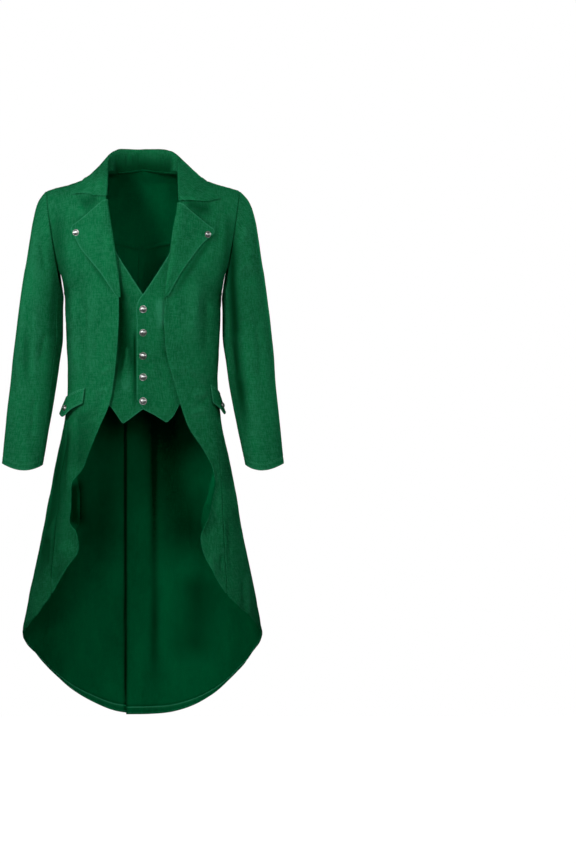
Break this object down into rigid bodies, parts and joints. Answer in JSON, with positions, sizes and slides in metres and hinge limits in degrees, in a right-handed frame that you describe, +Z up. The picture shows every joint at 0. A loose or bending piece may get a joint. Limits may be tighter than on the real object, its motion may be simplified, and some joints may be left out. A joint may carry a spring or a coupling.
{
  "type": "tailcoat",
  "caption": "Green twill cutaway tailcoat with wide buttoned lapels, a sewn-in waistcoat front, long rounded tails and a half belt at the back.",
  "frame": {"origin": "on the midline, in the plane of the shoulder line, at the height of the neck's side, where the wearer's shoulders carry the coat", "axes": "+Z up, the coat's front faces -Y, so the wearer's right is -X"},
  "size_m": [0.6178, 0.3265, 1.2632],
  "materials": {
    "twill": "matt cotton twill with a soft sheen",
    "waistcoat_twill": "matt cotton twill with a soft sheen",
    "button_metal": "domed, dark antique silver"
  },
  "bodies": {
    "root": {"front_right": "twill", "front_left": "twill", "lapel_right": "twill", "lapel_left": "twill", "collar": "twill", "yoke_back": "twill", "back_right": "twill", "back_left": "twill", "sleeve_top_right": "twill", "sleeve_top_left": "twill", "sleeve_under_right": "twill", "sleeve_under_left": "twill", "cuff_placket_right": "twill", "cuff_placket_left": "twill", "vest_right": "waistcoat_twill", "vest_left": "waistcoat_twill", "flap_right": "twill", "flap_left": "twill", "back_belt": "twill", "button_vest_1": "button_metal", "button_vest_2": "button_metal", "button_vest_3": "button_metal", "button_vest_4": "button_metal", "button_vest_5": "button_metal", "button_lapel_right": "button_metal", "button_lapel_left": "button_metal", "button_flap_right": "button_metal", "button_flap_left": "button_metal", "button_belt_right": "button_metal", "button_belt_left": "button_metal", "button_cuff_right_1": "button_metal", "button_cuff_right_2": "button_metal", "button_cuff_right_3": "button_metal", "button_cuff_left_1": "button_metal", "button_cuff_left_2": "button_metal", "button_cuff_left_3": "button_metal"}
  },
  "joints": []
}
